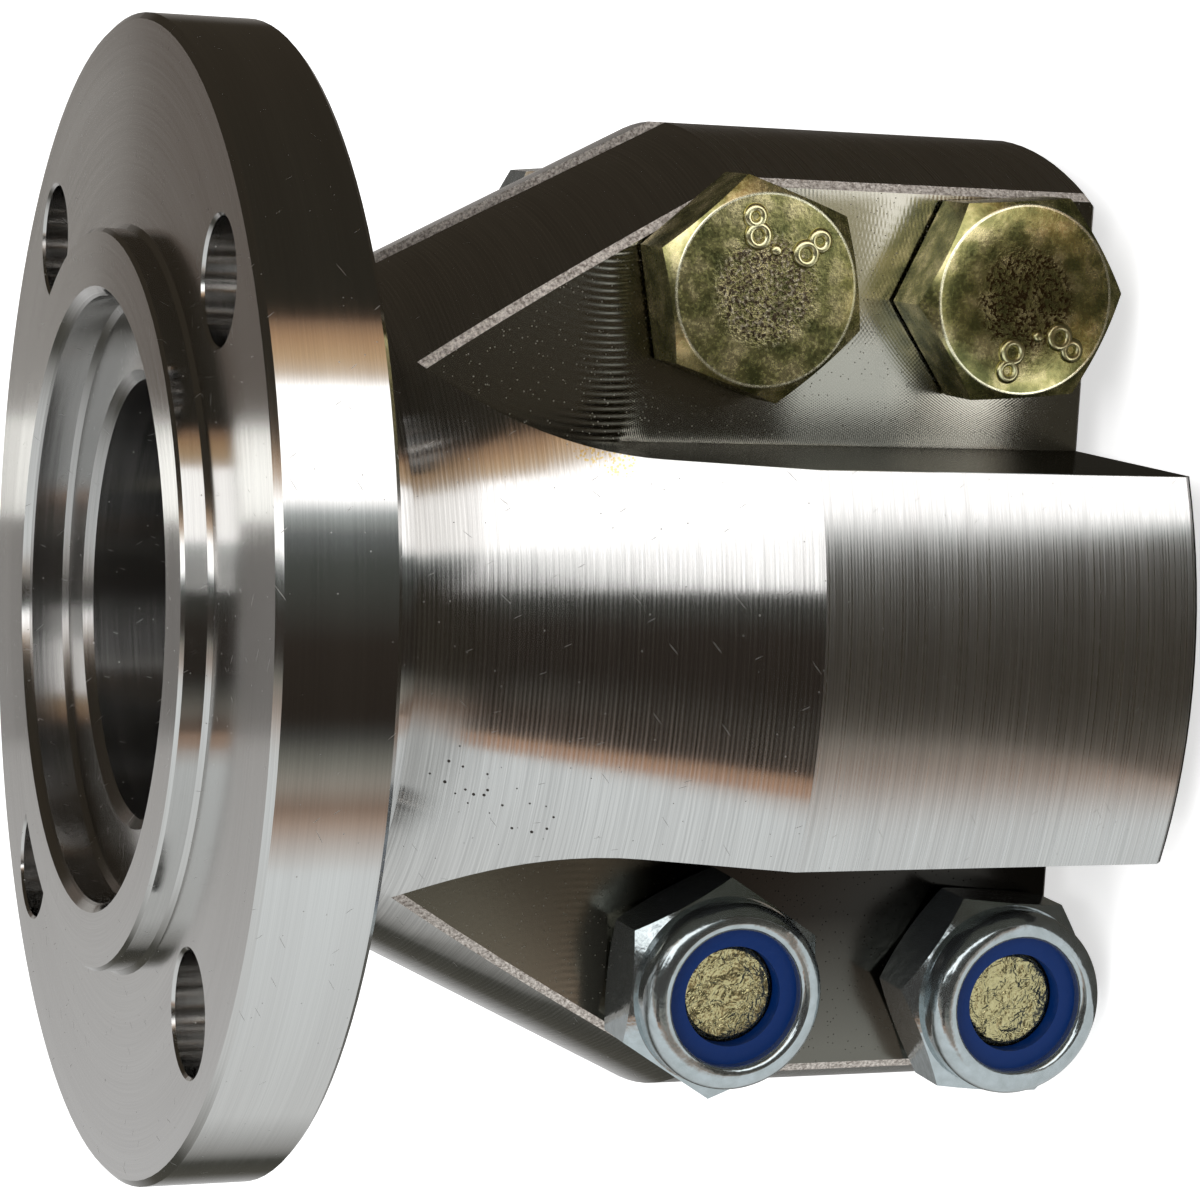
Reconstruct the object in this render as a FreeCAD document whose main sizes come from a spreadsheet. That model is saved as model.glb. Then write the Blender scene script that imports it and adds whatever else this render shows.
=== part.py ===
import FreeCAD, Part
import math
import os
from collections import namedtuple

import Sketcher
from FreeCAD import Rotation, Vector

# Split half coupling for a propeller or pump shaft. A turned and milled steel body has a bolting
# flange with a centring pilot at one end and a slotted clamping hub at the other. Two rows of
# bolts and lock nuts pull the two jaws of the hub on to the shaft.
# The part stands on its hub end with the flange up. Z is the shaft's axis, the slot lies in the
# XZ plane and the clamp bolts run along Y. Lengths are in millimetres and angles in degrees.

doc = FreeCAD.newDocument("split_half_coupling")

SIZES = {
    # Flange
    "flange_diameter": 100.0,
    "flange_thickness": 9.8,
    "flange_face_chamfer": 0.55,
    "flange_back_chamfer": 0.4,
    # Pilot that centres the other half
    "pilot_diameter": 63.5,
    "pilot_height": 2.5,
    "pilot_chamfer": 0.3,
    "pilot_root_bevel": 0.4,
    # Recess inside the pilot
    "recess_diameter": 52.0,
    "recess_depth": 4.1,
    "recess_chamfer": 0.8,
    "recess_corner_bevel": 0.5,
    # Shaft bore
    "shaft_bore_diameter": 38.0,
    "shaft_bore_chamfer": 0.8,
    # Hub: a cone from the flange's back, then a cylinder. The fillet in the neck is set by how far
    # it runs down the cone, which keeps it clear of the milled pockets.
    "hub_length": 81.4,
    "hub_diameter": 86.4,
    "hub_cylinder_length": 34.1,
    "hub_end_chamfer": 0.8,
    "neck_wall": 5.0,
    "neck_fillet_drop": 8.2,
    # Flange bolt holes
    "flange_hole_circle": 82.55,
    "flange_hole_diameter": 10.2,
    "flange_hole_angle": 45.0,
    "flange_hole_count": 4.0,
    "flange_hole_countersink": 0.25,
    # Slot that parts the hub into two jaws
    "slot_width": 4.0,
    "slot_end_land": 5.2,
    # Milled pockets that leave the clamping ears
    "seat_height": 19.0,
    "web_half_width": 16.4,
    "cutter_diameter": 50.0,
    "cutter_clearance": 1.6,
    "seat_edge_bevel": 0.5,
    # Clamp bolts: room for a wrench beside the web, wall under the lowest holes, and the gap
    # between the corners of two hexagons in a row
    "wrench_gap_a": 3.77,
    "wrench_gap_b": 3.77,
    "wrench_gap_b_end": 5.23,
    "end_land_a": 4.07,
    "end_land_b": 1.36,
    "corner_gap_a": 4.73,
    "corner_gap_b": 7.41,
    # Hexagon bolt
    "bolt_diameter": 10.0,
    "bolt_reach": 7.0,
    "bolt_tip_bevel": 1.2,
    "bolt_hole_clearance": 0.25,
    "hex_margin": 0.6,
    "hex_chamfer_angle": 30.0,
    "head_height": 6.4,
    "head_flat_margin": 0.3,
    "washer_face_margin": 0.6,
    "washer_face_height": 0.5,
    # Lock nut with a rolled collar
    "nut_hex_height": 6.3,
    "nut_seat_margin": 0.5,
    "nut_bore_chamfer": 0.6,
    "nut_ledge_margin": 0.15,
    "collar_wall": 1.2,
    "collar_neck_depth": 0.3,
    "collar_neck_height": 0.7,
    "collar_outer_radius": 1.5,
    "collar_lip_thickness": 1.3,
    "collar_lip_overlap": 1.0,
    "thread_clearance": 0.1,
    # Nylon ring held under the collar's lip
    "ring_band": 1.9,
    "ring_thickness": 2.7,
    "ring_sink": 0.7,
    "ring_squeeze": 0.65,
    "ring_clearance": 0.05,
    # Corner of each hexagon, turned from +X towards +Z
    "bolt_1_turn": 11.1,
    "bolt_2_turn": 34.8,
    "bolt_3_turn": 40.0,
    "bolt_4_turn": 25.3,
    "nut_1_turn": 35.0,
    "nut_2_turn": 12.0,
    "nut_3_turn": -3.0,
    "nut_4_turn": 25.3,
}


def lowest_corner(turn):
    """How far the lowest corner of a hexagon lies under its centre."""
    return f"Worked.hex_corner * cos(30 - abs(mod(Sizes.{turn} + 90; 60) - 30))"


# Sizes worked out from the driving ones. The lowest hexagon corner stands on z = 0.
WORKED = {
    "bolt_radius": "Sizes.bolt_diameter / 2",
    "bolt_hole_radius": "Worked.bolt_radius + Sizes.bolt_hole_clearance",
    "ring_seat_radius": "Worked.bolt_radius + Sizes.ring_band",
    "ring_hole_radius": "Worked.bolt_radius - Sizes.ring_squeeze",
    "collar_radius": "Worked.ring_seat_radius + Sizes.collar_wall",
    "collar_lip_hole_radius": "Worked.ring_seat_radius - Sizes.collar_lip_overlap",
    "collar_lip_radius": "Sizes.collar_wall + Sizes.collar_lip_overlap - Sizes.collar_outer_radius",
    "hex_flat": "Worked.collar_radius + Sizes.hex_margin / 2",
    "hex_corner": "Worked.hex_flat / cos(30)",
    "end_height_a": "Sizes.end_land_a + Worked.bolt_hole_radius",
    "end_height_b": "Sizes.end_land_b + Worked.bolt_hole_radius",
    "reach_bolt_2": lowest_corner("bolt_2_turn"),
    "reach_nut_2": lowest_corner("nut_2_turn"),
    "reach_bolt_4": lowest_corner("bolt_4_turn"),
    "reach_nut_4": lowest_corner("nut_4_turn"),
    "hub_end_z": "max(0; max(Worked.reach_bolt_2; Worked.reach_nut_2) - Worked.end_height_a;"
                 " max(Worked.reach_bolt_4; Worked.reach_nut_4) - Worked.end_height_b)",
    "cylinder_top_z": "Worked.hub_end_z + Sizes.hub_cylinder_length",
    "flange_face_z": "Worked.hub_end_z + Sizes.hub_length",
    "flange_back_z": "Worked.flange_face_z - Sizes.flange_thickness",
    "pilot_face_z": "Worked.flange_face_z + Sizes.pilot_height",
    "recess_floor_z": "Worked.pilot_face_z - Sizes.recess_depth",
    "slot_end_z": "Worked.flange_back_z - Sizes.slot_end_land",
    "bore_radius": "Sizes.shaft_bore_diameter / 2",
    "neck_radius": "Worked.bore_radius + Sizes.neck_wall",
    "hub_radius": "Sizes.hub_diameter / 2",
    "cone_slope": "(Worked.hub_radius - Worked.neck_radius)"
                  " / (Worked.flange_back_z - Worked.cylinder_top_z)",
    "cone_stretch": "sqrt(1 + Worked.cone_slope ^ 2)",
    "neck_fillet_radius": "Sizes.neck_fillet_drop * Worked.cone_stretch"
                          " * (Worked.cone_stretch - Worked.cone_slope)",
    "cutter_x": "Sizes.web_half_width + Sizes.cutter_diameter / 2",
    "cutter_top_z": "Worked.flange_back_z - Sizes.cutter_clearance",
    "cutter_stop_z": "Worked.cutter_top_z - Sizes.cutter_diameter / 2",
    "outside_x": "max(Worked.cutter_x; Worked.hub_radius) + Sizes.hub_end_chamfer",
    "row_a_x": "Sizes.web_half_width + Worked.hex_corner + Sizes.wrench_gap_a",
    "row_b_x": "Sizes.web_half_width + Worked.hex_corner + Sizes.wrench_gap_b",
    "row_b_end_x": "Sizes.web_half_width + Worked.hex_corner + Sizes.wrench_gap_b_end",
    "row_a_end_z": "Worked.hub_end_z + Worked.end_height_a",
    "row_a_top_z": "Worked.row_a_end_z + 2 * Worked.hex_corner + Sizes.corner_gap_a",
    "row_b_end_z": "Worked.hub_end_z + Worked.end_height_b",
    "row_b_top_z": "Worked.row_b_end_z + 2 * Worked.hex_corner + Sizes.corner_gap_b",
    "nut_bore_radius": "Worked.bolt_radius + Sizes.thread_clearance",
    "ring_low": "Sizes.nut_hex_height - Sizes.ring_sink",
    "ring_top": "Worked.ring_low + Sizes.ring_thickness",
    "nut_top": "Worked.ring_top + Sizes.collar_lip_thickness",
    "bolt_length": "2 * Sizes.seat_height + Sizes.bolt_reach",
}

# Clamping stations: number, X, Z, and the side of the slot on which the nut sits. Row a, on the
# +X side, has its nuts at +Y, and row b has them at -Y.
Station = namedtuple("Station", "number x z nut_side")
STATIONS = (
    Station(1, "Worked.row_a_x", "Worked.row_a_top_z", 1),
    Station(2, "Worked.row_a_x", "Worked.row_a_end_z", 1),
    Station(3, "-Worked.row_b_x", "Worked.row_b_top_z", -1),
    Station(4, "-Worked.row_b_end_x", "Worked.row_b_end_z", -1),
)

# Smallest length or volume that counts as a difference
TOLERANCE = 1e-4


def fill_sheet(name, cells, prefix):
    """A spreadsheet with an alias beside each value."""
    sheet = doc.addObject("Spreadsheet::Sheet", name)
    for row, (alias, value) in enumerate(cells.items(), start=1):
        sheet.set(f"A{row}", alias)
        sheet.set(f"B{row}", f"{prefix}{value}")
        sheet.setAlias(f"B{row}", alias)
    doc.recompute()
    return sheet


def new_body(label):
    """One piece, whose label names its file."""
    body = doc.addObject("PartDesign::Body", label)
    body.Label = label
    return body


def new_sketch(body, name, plane, height="0"):
    """An empty sketch on one of the body's own planes, moved along the plane's normal."""
    sketch = body.newObject("Sketcher::SketchObject", name)
    origin_plane = next(item for item in body.Origin.OriginFeatures if item.Role == plane)
    sketch.AttachmentSupport = [(origin_plane, "")]
    sketch.MapMode = "FlatFace"
    sketch.setExpression("AttachmentOffset.Base.z", height)
    return sketch


def value_of(expression):
    """The present value of an expression on the two sheets."""
    return float(doc.getObject("Worked").evalExpression(expression))


def fix_point(sketch, geometry, vertex, point):
    """Holds one vertex at a pair of expressions, measured from the sketch's origin."""
    for constraint, axis, expression in (("DistanceX", -2, point[0]), ("DistanceY", -1, point[1])):
        if expression == "0":
            sketch.addConstraint(Sketcher.Constraint("PointOnObject", geometry, vertex, axis))
            continue
        value = value_of(expression)
        index = sketch.addConstraint(
            Sketcher.Constraint(constraint, -1, 1, geometry, vertex, value))
        sketch.setExpression(f"Constraints[{index}]", expression)


def add_outline(sketch, points, arcs=None):
    """A closed outline through points. arcs names, by the number of its first point, each side
    that is an arc, with the arc's centre; every arc runs anticlockwise."""
    arcs = arcs or {}
    places = [Vector(value_of(x), value_of(y), 0) for x, y in points]
    first = sketch.GeometryCount
    count = len(points)
    for number, place in enumerate(places):
        following = places[(number + 1) % count]
        if number in arcs:
            centre = Vector(*(value_of(item) for item in arcs[number]), 0)
            start, end = place - centre, following - centre
            circle = Part.Circle(centre, Vector(0, 0, 1), start.Length)
            arc = Part.ArcOfCircle(circle, math.atan2(start.y, start.x), math.atan2(end.y, end.x))
            sketch.addGeometry(arc)
        else:
            sketch.addGeometry(Part.LineSegment(place, following))
    for number, point in enumerate(points):
        following = first + (number + 1) % count
        sketch.addConstraint(Sketcher.Constraint("Coincident", first + number, 2, following, 1))
        fix_point(sketch, first + number, 1, point)
    for number, centre in arcs.items():
        # The two ends are fixed already, so one coordinate of the centre settles the arc.
        index = sketch.addConstraint(
            Sketcher.Constraint("DistanceX", -1, 1, first + number, 3, value_of(centre[0])))
        sketch.setExpression(f"Constraints[{index}]", centre[0])


def add_circle(sketch, centre, radius):
    """A circle with its centre and radius held by expressions."""
    place = Vector(value_of(centre[0]), value_of(centre[1]), 0)
    geometry = sketch.addGeometry(Part.Circle(place, Vector(0, 0, 1), value_of(radius)))
    fix_point(sketch, geometry, 3, centre)
    index = sketch.addConstraint(Sketcher.Constraint("Radius", geometry, value_of(radius)))
    sketch.setExpression(f"Constraints[{index}]", radius)


def turned(body, name, kind, sketch):
    """A solid of revolution, or a groove, about the sketch's upright axis."""
    feature = body.newObject(kind, name)
    feature.Profile = sketch
    feature.ReferenceAxis = (sketch, ["V_Axis"])
    feature.Angle = 360.0
    doc.recompute()
    return feature


def cut(body, name, sketch, length=None, reverse=False, both_ways=False):
    """A pocket of the given length, or right through, that must take material away."""
    before = body.Shape.Volume
    feature = body.newObject("PartDesign::Pocket", name)
    feature.Profile = sketch
    if length is None:
        feature.Type = "ThroughAll"
    else:
        feature.Type = "Length"
        feature.setExpression("Length", length)
    feature.Reversed = reverse
    feature.Midplane = both_ways
    doc.recompute()
    if not feature.Shape.Volume < before - TOLERANCE:
        raise RuntimeError(f"{name} cuts nothing")
    return feature


def dress_edges(body, name, kind, measure, size, wanted):
    """A chamfer or a fillet on each edge of the body for which wanted(edge) is true."""
    base = body.Tip
    names = [f"Edge{number}" for number, edge in enumerate(base.Shape.Edges, start=1)
             if wanted(edge)]
    feature = body.newObject(kind, name)
    feature.Base = (base, names)
    feature.setExpression(measure, size)
    doc.recompute()
    return feature


def add_turned_blank(body):
    """The flange, pilot, recess, bore, cone and cylinder, turned from one bar."""
    end, face, back = "Worked.hub_end_z", "Worked.flange_face_z", "Worked.flange_back_z"
    top, floor = "Worked.pilot_face_z", "Worked.recess_floor_z"
    bore, hub, neck = "Worked.bore_radius", "Worked.hub_radius", "Worked.neck_radius"
    flange, pilot = "Sizes.flange_diameter / 2", "Sizes.pilot_diameter / 2"
    recess = "Sizes.recess_diameter / 2"
    bore_edge, hub_edge = "Sizes.shaft_bore_chamfer", "Sizes.hub_end_chamfer"
    face_edge, back_edge = "Sizes.flange_face_chamfer", "Sizes.flange_back_chamfer"
    pilot_edge, root = "Sizes.pilot_chamfer", "Sizes.pilot_root_bevel"
    recess_edge, corner = "Sizes.recess_chamfer", "Sizes.recess_corner_bevel"
    sketch = new_sketch(body, "half_section", "XZ_Plane")
    add_outline(sketch, (
        (f"{bore} + {bore_edge}", end),
        (f"{hub} - {hub_edge}", end),
        (hub, f"{end} + {hub_edge}"),
        (hub, "Worked.cylinder_top_z"),
        (neck, back),
        (f"{flange} - {back_edge}", back),
        (flange, f"{back} + {back_edge}"),
        (flange, f"{face} - {face_edge}"),
        (f"{flange} - {face_edge}", face),
        (f"{pilot} + {root}", face),
        (pilot, f"{face} + {root}"),
        (pilot, f"{top} - {pilot_edge}"),
        (f"{pilot} - {pilot_edge}", top),
        (f"{recess} + {recess_edge}", top),
        (recess, f"{top} - {recess_edge}"),
        (recess, f"{floor} + {corner}"),
        (f"{recess} - {corner}", floor),
        (f"{bore} + {bore_edge}", floor),
        (bore, f"{floor} - {bore_edge}"),
        (bore, f"{end} + {bore_edge}"),
    ))
    turned(body, "turned_blank", "PartDesign::Revolution", sketch)


def add_ear_pockets(body):
    """Four milled pockets: two beside the web on the -Y side, mirrored to the +Y side."""
    wall, stop = "Sizes.web_half_width", "Worked.cutter_stop_z"
    outside, below = "Worked.outside_x", "Worked.hub_end_z - Sizes.hub_end_chamfer"
    centre, top = "Worked.cutter_x", "Worked.cutter_top_z"
    sketch = new_sketch(body, "pocket_outline", "XZ_Plane", "Sizes.seat_height")
    add_outline(sketch, ((wall, below), (outside, below), (outside, top), (centre, top),
                         (wall, stop)), {3: (centre, stop)})
    add_outline(sketch, ((f"-{wall}", stop), (f"-{centre}", top), (f"-{outside}", top),
                         (f"-{outside}", below), (f"-{wall}", below)), {0: (f"-{centre}", stop)})
    pocket = cut(body, "ear_pockets", sketch, reverse=True)
    mirror = body.newObject("PartDesign::Mirrored", "far_ear_pockets")
    mirror.Originals = [pocket]
    plane = next(item for item in body.Origin.OriginFeatures if item.Role == "XZ_Plane")
    mirror.MirrorPlane = (plane, [""])
    body.Tip = mirror
    doc.recompute()


def add_slot(body):
    """The saw slot through both walls of the hub, ending short of the flange."""
    half, end = "Sizes.slot_width / 2", "Worked.slot_end_z"
    below = "Worked.hub_end_z - Sizes.hub_end_chamfer"
    sketch = new_sketch(body, "slot_outline", "YZ_Plane")
    add_outline(sketch, ((f"-{half}", below), (half, below), (half, end), (f"-{half}", end)))
    cut(body, "slot", sketch, both_ways=True)


def add_bolt_holes(body):
    """Plain clearance holes across the slot, one for each clamp bolt."""
    sketch = new_sketch(body, "bolt_hole_places", "XZ_Plane")
    for station in STATIONS:
        add_circle(sketch, (station.x, station.z), "Worked.bolt_hole_radius")
    cut(body, "bolt_holes", sketch, both_ways=True)


def add_flange_holes(body):
    """One drilled hole, repeated round the bolt circle."""
    radius = "Sizes.flange_hole_circle / 2"
    place = (f"{radius} * cos(Sizes.flange_hole_angle)", f"{radius} * sin(Sizes.flange_hole_angle)")
    sketch = new_sketch(body, "flange_hole_place", "XY_Plane", "Worked.flange_face_z")
    add_circle(sketch, place, "Sizes.flange_hole_diameter / 2")
    hole = cut(body, "flange_hole", sketch, length="Sizes.flange_thickness")
    pattern = body.newObject("PartDesign::PolarPattern", "flange_holes")
    pattern.Originals = [hole]
    pattern.Axis = (next(item for item in body.Origin.OriginFeatures if item.Role == "Z_Axis"), [""])
    pattern.Angle = 360.0
    pattern.setExpression("Occurrences", "Sizes.flange_hole_count")
    body.Tip = pattern
    doc.recompute()


def is_neck_corner(edge):
    """True for the round corner where the cone meets the flange's back."""
    if not isinstance(edge.Curve, Part.Circle):
        return False
    same_size = abs(edge.Curve.Radius - value_of("Worked.neck_radius")) < TOLERANCE
    return same_size and abs(edge.Curve.Center.z - value_of("Worked.flange_back_z")) < TOLERANCE


def is_flange_hole_rim(edge):
    """True for the round edge of a flange hole, on the flange's face or back."""
    if not isinstance(edge.Curve, Part.Circle):
        return False
    same_size = abs(edge.Curve.Radius - value_of("Sizes.flange_hole_diameter / 2")) < TOLERANCE
    from_axis = math.hypot(edge.Curve.Center.x, edge.Curve.Center.y)
    return same_size and abs(from_axis - value_of("Sizes.flange_hole_circle / 2")) < TOLERANCE


def is_seat_rim(edge):
    """True for an edge of a pocket's seat that runs along the cone or the cylinder."""
    seat, wall = value_of("Sizes.seat_height"), value_of("Sizes.web_half_width")
    middle = edge.valueAt((edge.FirstParameter + edge.LastParameter) / 2)
    ends = [vertex.Point for vertex in edge.Vertexes]
    if len(ends) < 2 or any(abs(abs(point.y) - seat) > TOLERANCE for point in [middle, *ends]):
        return False
    if isinstance(edge.Curve, Part.Circle) or abs(middle.x) < wall + TOLERANCE:
        return False
    return middle.z > value_of("Worked.hub_end_z + Sizes.hub_end_chamfer")


def build_coupling_body():
    """The one large piece. Its seats' rims are bevelled before any hole comes near them."""
    chamfer, fillet = ("PartDesign::Chamfer", "Size"), ("PartDesign::Fillet", "Radius")
    body = new_body("coupling_body")
    add_turned_blank(body)
    dress_edges(body, "neck_fillet", *fillet, "Worked.neck_fillet_radius", is_neck_corner)
    add_ear_pockets(body)
    dress_edges(body, "seat_edge_bevels", *chamfer, "Sizes.seat_edge_bevel", is_seat_rim)
    add_slot(body)
    add_bolt_holes(body)
    add_flange_holes(body)
    dress_edges(body, "flange_hole_countersinks", *chamfer, "Sizes.flange_hole_countersink",
                is_flange_hole_rim)
    return body


def add_hexagon(body, turn, side, height, low="0"):
    """A hexagonal prism with one corner turned from +X towards +Z in the part's frame."""
    sketch = new_sketch(body, "hexagon", "XY_Plane", low)
    corner = "Worked.hex_corner"
    angles = [f"({-side} * {turn} + {60 * number})" for number in range(6)]
    add_outline(sketch, [(f"{corner} * cos{angle}", f"{corner} * sin{angle}") for angle in angles])
    prism = body.newObject("PartDesign::Pad", "hexagon_prism")
    prism.Profile = sketch
    prism.setExpression("Length", height)
    doc.recompute()


def add_corner_groove(body, name, margin, level, away):
    """Turns the hexagon's corners off, from the given margin inside its flats. away is 1 for the
    face that looks along the piece's own Z, and -1 for the other."""
    before = body.Shape.Volume
    outside = "(Worked.hex_corner + 1)"
    flat_radius = f"(Worked.hex_flat - {margin})"
    drop = f"({outside} - {flat_radius}) * tan(Sizes.hex_chamfer_angle)"
    sketch = new_sketch(body, f"{name}_section", "XZ_Plane")
    add_outline(sketch, ((flat_radius, level), (outside, level),
                         (outside, f"{level} - {away} * {drop}")))
    groove = turned(body, name, "PartDesign::Groove", sketch)
    if not groove.Shape.Volume < before - TOLERANCE:
        raise RuntimeError(f"{name} cuts nothing")


def place_piece(body, station, height):
    """Lays the piece's own Z along Y, towards the nut's side, at the station's place."""
    body.setExpression("Placement.Base.x", station.x)
    body.setExpression("Placement.Base.y", f"{station.nut_side} * {height}")
    body.setExpression("Placement.Base.z", station.z)
    body.Placement.Rotation = Rotation(Vector(1, 0, 0), -90 * station.nut_side)


def build_clamp_bolt(station):
    """A hexagon bolt whose head seats on one ear. Its own Z runs from the head to the tip."""
    number, side = station.number, station.nut_side
    body = new_body(f"clamp_bolt_{number}")
    add_hexagon(body, f"Sizes.bolt_{number}_turn", side,
                "Sizes.head_height - Sizes.washer_face_height", "-Sizes.head_height")
    add_corner_groove(body, "head_chamfer", "Sizes.head_flat_margin", "-Sizes.head_height", -1)
    shank, face = "Worked.bolt_radius", "Worked.hex_flat - Sizes.washer_face_margin"
    tip, step = "Sizes.bolt_tip_bevel", "-Sizes.washer_face_height"
    sketch = new_sketch(body, "shank_section", "XZ_Plane")
    add_outline(sketch, (
        ("0", step),
        (face, step),
        (face, "0"),
        (shank, "0"),
        (shank, f"Worked.bolt_length - {tip}"),
        (f"{shank} - {tip}", "Worked.bolt_length"),
        ("0", "Worked.bolt_length"),
    ))
    turned(body, "shank", "PartDesign::Revolution", sketch)
    place_piece(body, station, "(-Sizes.seat_height)")
    return body


def build_lock_nut(station):
    """A hexagon nut with a rolled collar for its ring. Its own Z runs away from the ear."""
    number, side = station.number, station.nut_side
    body = new_body(f"lock_nut_{number}")
    add_hexagon(body, f"Sizes.nut_{number}_turn", side, "Sizes.nut_hex_height")
    add_corner_groove(body, "seat_chamfer", "Sizes.nut_seat_margin", "0", -1)
    add_corner_groove(body, "collar_chamfer", "Sizes.nut_ledge_margin", "Sizes.nut_hex_height", 1)
    collar, neck = "Worked.collar_radius", "Worked.collar_radius - Sizes.collar_neck_depth"
    outer, inner = "Sizes.collar_outer_radius", "Worked.collar_lip_radius"
    lip, ring = "Worked.collar_lip_hole_radius", "Worked.ring_seat_radius"
    top, hexagon_top = "Worked.nut_top", "Sizes.nut_hex_height"
    crest = f"({collar} - {outer})"
    sketch = new_sketch(body, "collar_section", "XZ_Plane")
    add_outline(sketch, (
        ("0", f"{hexagon_top} - Sizes.collar_neck_height"),
        (neck, f"{hexagon_top} - Sizes.collar_neck_height"),
        (neck, hexagon_top),
        (collar, f"{hexagon_top} + Sizes.collar_neck_height"),
        (collar, f"{top} - {outer}"),
        (crest, top),
        (lip, f"{top} - {inner}"),
        (lip, f"{hexagon_top} + Sizes.collar_neck_height"),
        ("0", f"{hexagon_top} + Sizes.collar_neck_height"),
    ), {4: (crest, f"{top} - {outer}"), 5: (crest, f"{top} - {inner}")})
    turned(body, "collar", "PartDesign::Revolution", sketch)
    bore, edge = "Worked.nut_bore_radius", "Sizes.nut_bore_chamfer"
    sketch = new_sketch(body, "bore_section", "XZ_Plane")
    add_outline(sketch, (
        ("0", "0"),
        (f"{bore} + {edge}", "0"),
        (bore, edge),
        (bore, "Worked.ring_low"),
        (ring, "Worked.ring_low"),
        (ring, "Worked.ring_top"),
        ("0", "Worked.ring_top"),
    ))
    turned(body, "bore_and_ring_seat", "PartDesign::Groove", sketch)
    place_piece(body, station, "Sizes.seat_height")
    return body


def build_nylon_ring(station):
    """The locking ring. The bolt's end opens it as far up as it reaches."""
    body = new_body(f"nylon_ring_{station.number}")
    hole, outer = "Worked.ring_hole_radius", "Worked.ring_seat_radius - Sizes.ring_clearance"
    low, top = "Worked.ring_low", "Worked.ring_top"
    sketch = new_sketch(body, "ring_section", "XZ_Plane")
    add_outline(sketch, ((hole, low), (outer, low), (outer, top), (hole, top)))
    turned(body, "ring", "PartDesign::Revolution", sketch)
    opened, tip = "Worked.nut_bore_radius", "Sizes.bolt_tip_bevel"
    end = "(Sizes.bolt_reach + Sizes.thread_clearance)"
    sketch = new_sketch(body, "bolt_end_section", "XZ_Plane")
    add_outline(sketch, (
        ("0", "0"),
        (opened, "0"),
        (opened, f"{end} - {tip}"),
        (f"{opened} - {tip}", end),
        ("0", end),
    ))
    turned(body, "opened_by_bolt", "PartDesign::Groove", sketch)
    place_piece(body, station, "Sizes.seat_height")
    return body


def write_parts(bodies):
    """Stops if anything failed, then writes each piece to its own file."""
    for item in doc.Objects:
        if "Invalid" in item.State or "Error" in item.State:
            raise RuntimeError(f"{item.Name} failed: {item.State}")
    for body in bodies:
        if body.Shape.isNull() or not body.Shape.isValid() or len(body.Shape.Solids) != 1:
            raise RuntimeError(f"{body.Label} is not one valid solid")
    os.makedirs("parts", exist_ok=True)
    for body in bodies:
        body.Shape.exportStep(f"parts/{body.Label}.step")
        print(body.Label, round(body.Shape.Volume, 2))


fill_sheet("Sizes", SIZES, "")
fill_sheet("Worked", WORKED, "=")
pieces = [build_coupling_body()]
for build in (build_clamp_bolt, build_lock_nut, build_nylon_ring):
    pieces.extend(build(station) for station in STATIONS)
doc.recompute()
write_parts(pieces)
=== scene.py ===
import math

import bmesh
import bpy
from mathutils import Matrix, Vector


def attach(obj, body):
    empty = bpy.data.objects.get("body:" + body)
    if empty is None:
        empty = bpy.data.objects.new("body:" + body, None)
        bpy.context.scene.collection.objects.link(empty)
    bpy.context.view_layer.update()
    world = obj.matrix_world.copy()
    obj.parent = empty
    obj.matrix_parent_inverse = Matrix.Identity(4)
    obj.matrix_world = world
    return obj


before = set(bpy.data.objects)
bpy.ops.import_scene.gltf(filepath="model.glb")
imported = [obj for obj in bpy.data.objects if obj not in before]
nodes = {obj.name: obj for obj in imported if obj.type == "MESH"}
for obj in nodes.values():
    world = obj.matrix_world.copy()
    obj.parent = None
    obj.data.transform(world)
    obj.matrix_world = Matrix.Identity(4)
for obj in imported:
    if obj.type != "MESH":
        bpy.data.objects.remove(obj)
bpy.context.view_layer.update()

scene = bpy.context.scene
scene.view_settings.view_transform = "Standard"

# The view of the photograph: from the -Y side and above, rolled so that the shaft's axis lies
# level and the flange is at the left. The place and the lens come from a camera solved on the
# outlines of the flange, bore, pilot, holes, bolt heads and nuts.
camera = bpy.data.objects.new("camera", bpy.data.cameras.new("camera"))
camera.data.sensor_width = 36.0
camera.data.lens = 112.034
camera.data.clip_start, camera.data.clip_end = 0.02, 20.0
camera.matrix_world = Matrix((
    (0.055332, 0.989802, 0.131264, 0.044376),
    (-0.352514, 0.142365, -0.924914, -0.311505),
    (-0.934169, 0.004905, 0.356796, 0.160167),
    (0.0, 0.0, 0.0, 1.0),
))
scene.collection.objects.link(camera)
scene.camera = camera


def colour(code, alpha=1.0):
    """An sRGB hex colour as linear values."""
    channels = [int(code[at:at + 2], 16) / 255 for at in (1, 3, 5)]
    linear = [c / 12.92 if c <= 0.04045 else ((c + 0.055) / 1.055) ** 2.4 for c in channels]
    return (*linear, alpha)


MATH, VECTOR, MIX = "ShaderNodeMath", "ShaderNodeVectorMath", "ShaderNodeMix"


def add(tree, kind, inputs=(), **settings):
    """Adds a node, sets its properties, and fills or links its inputs, which are named or in
    order. A node given as an input is linked by its first output in use."""
    node = tree.nodes.new(kind)
    for name, value in settings.items():
        setattr(node, name, value)
    for key, value in inputs.items() if isinstance(inputs, dict) else enumerate(inputs):
        if isinstance(value, bpy.types.Node):
            value = next(socket for socket in value.outputs if socket.enabled)
        if isinstance(value, bpy.types.NodeSocket):
            tree.links.new(value, node.inputs[key])
        else:
            node.inputs[key].default_value = value
    return node


def new_material(name):
    """An empty material and its node tree."""
    material = bpy.data.materials.new(name)
    material.use_nodes = True
    material.node_tree.nodes.clear()
    return material, material.node_tree


def new_object(name, mesh, material=None):
    """Puts a mesh or a curve in the scene, with its material."""
    item = bpy.data.objects.new(name, mesh)
    scene.collection.objects.link(item)
    if material:
        mesh.materials.append(material)
    return item


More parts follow.
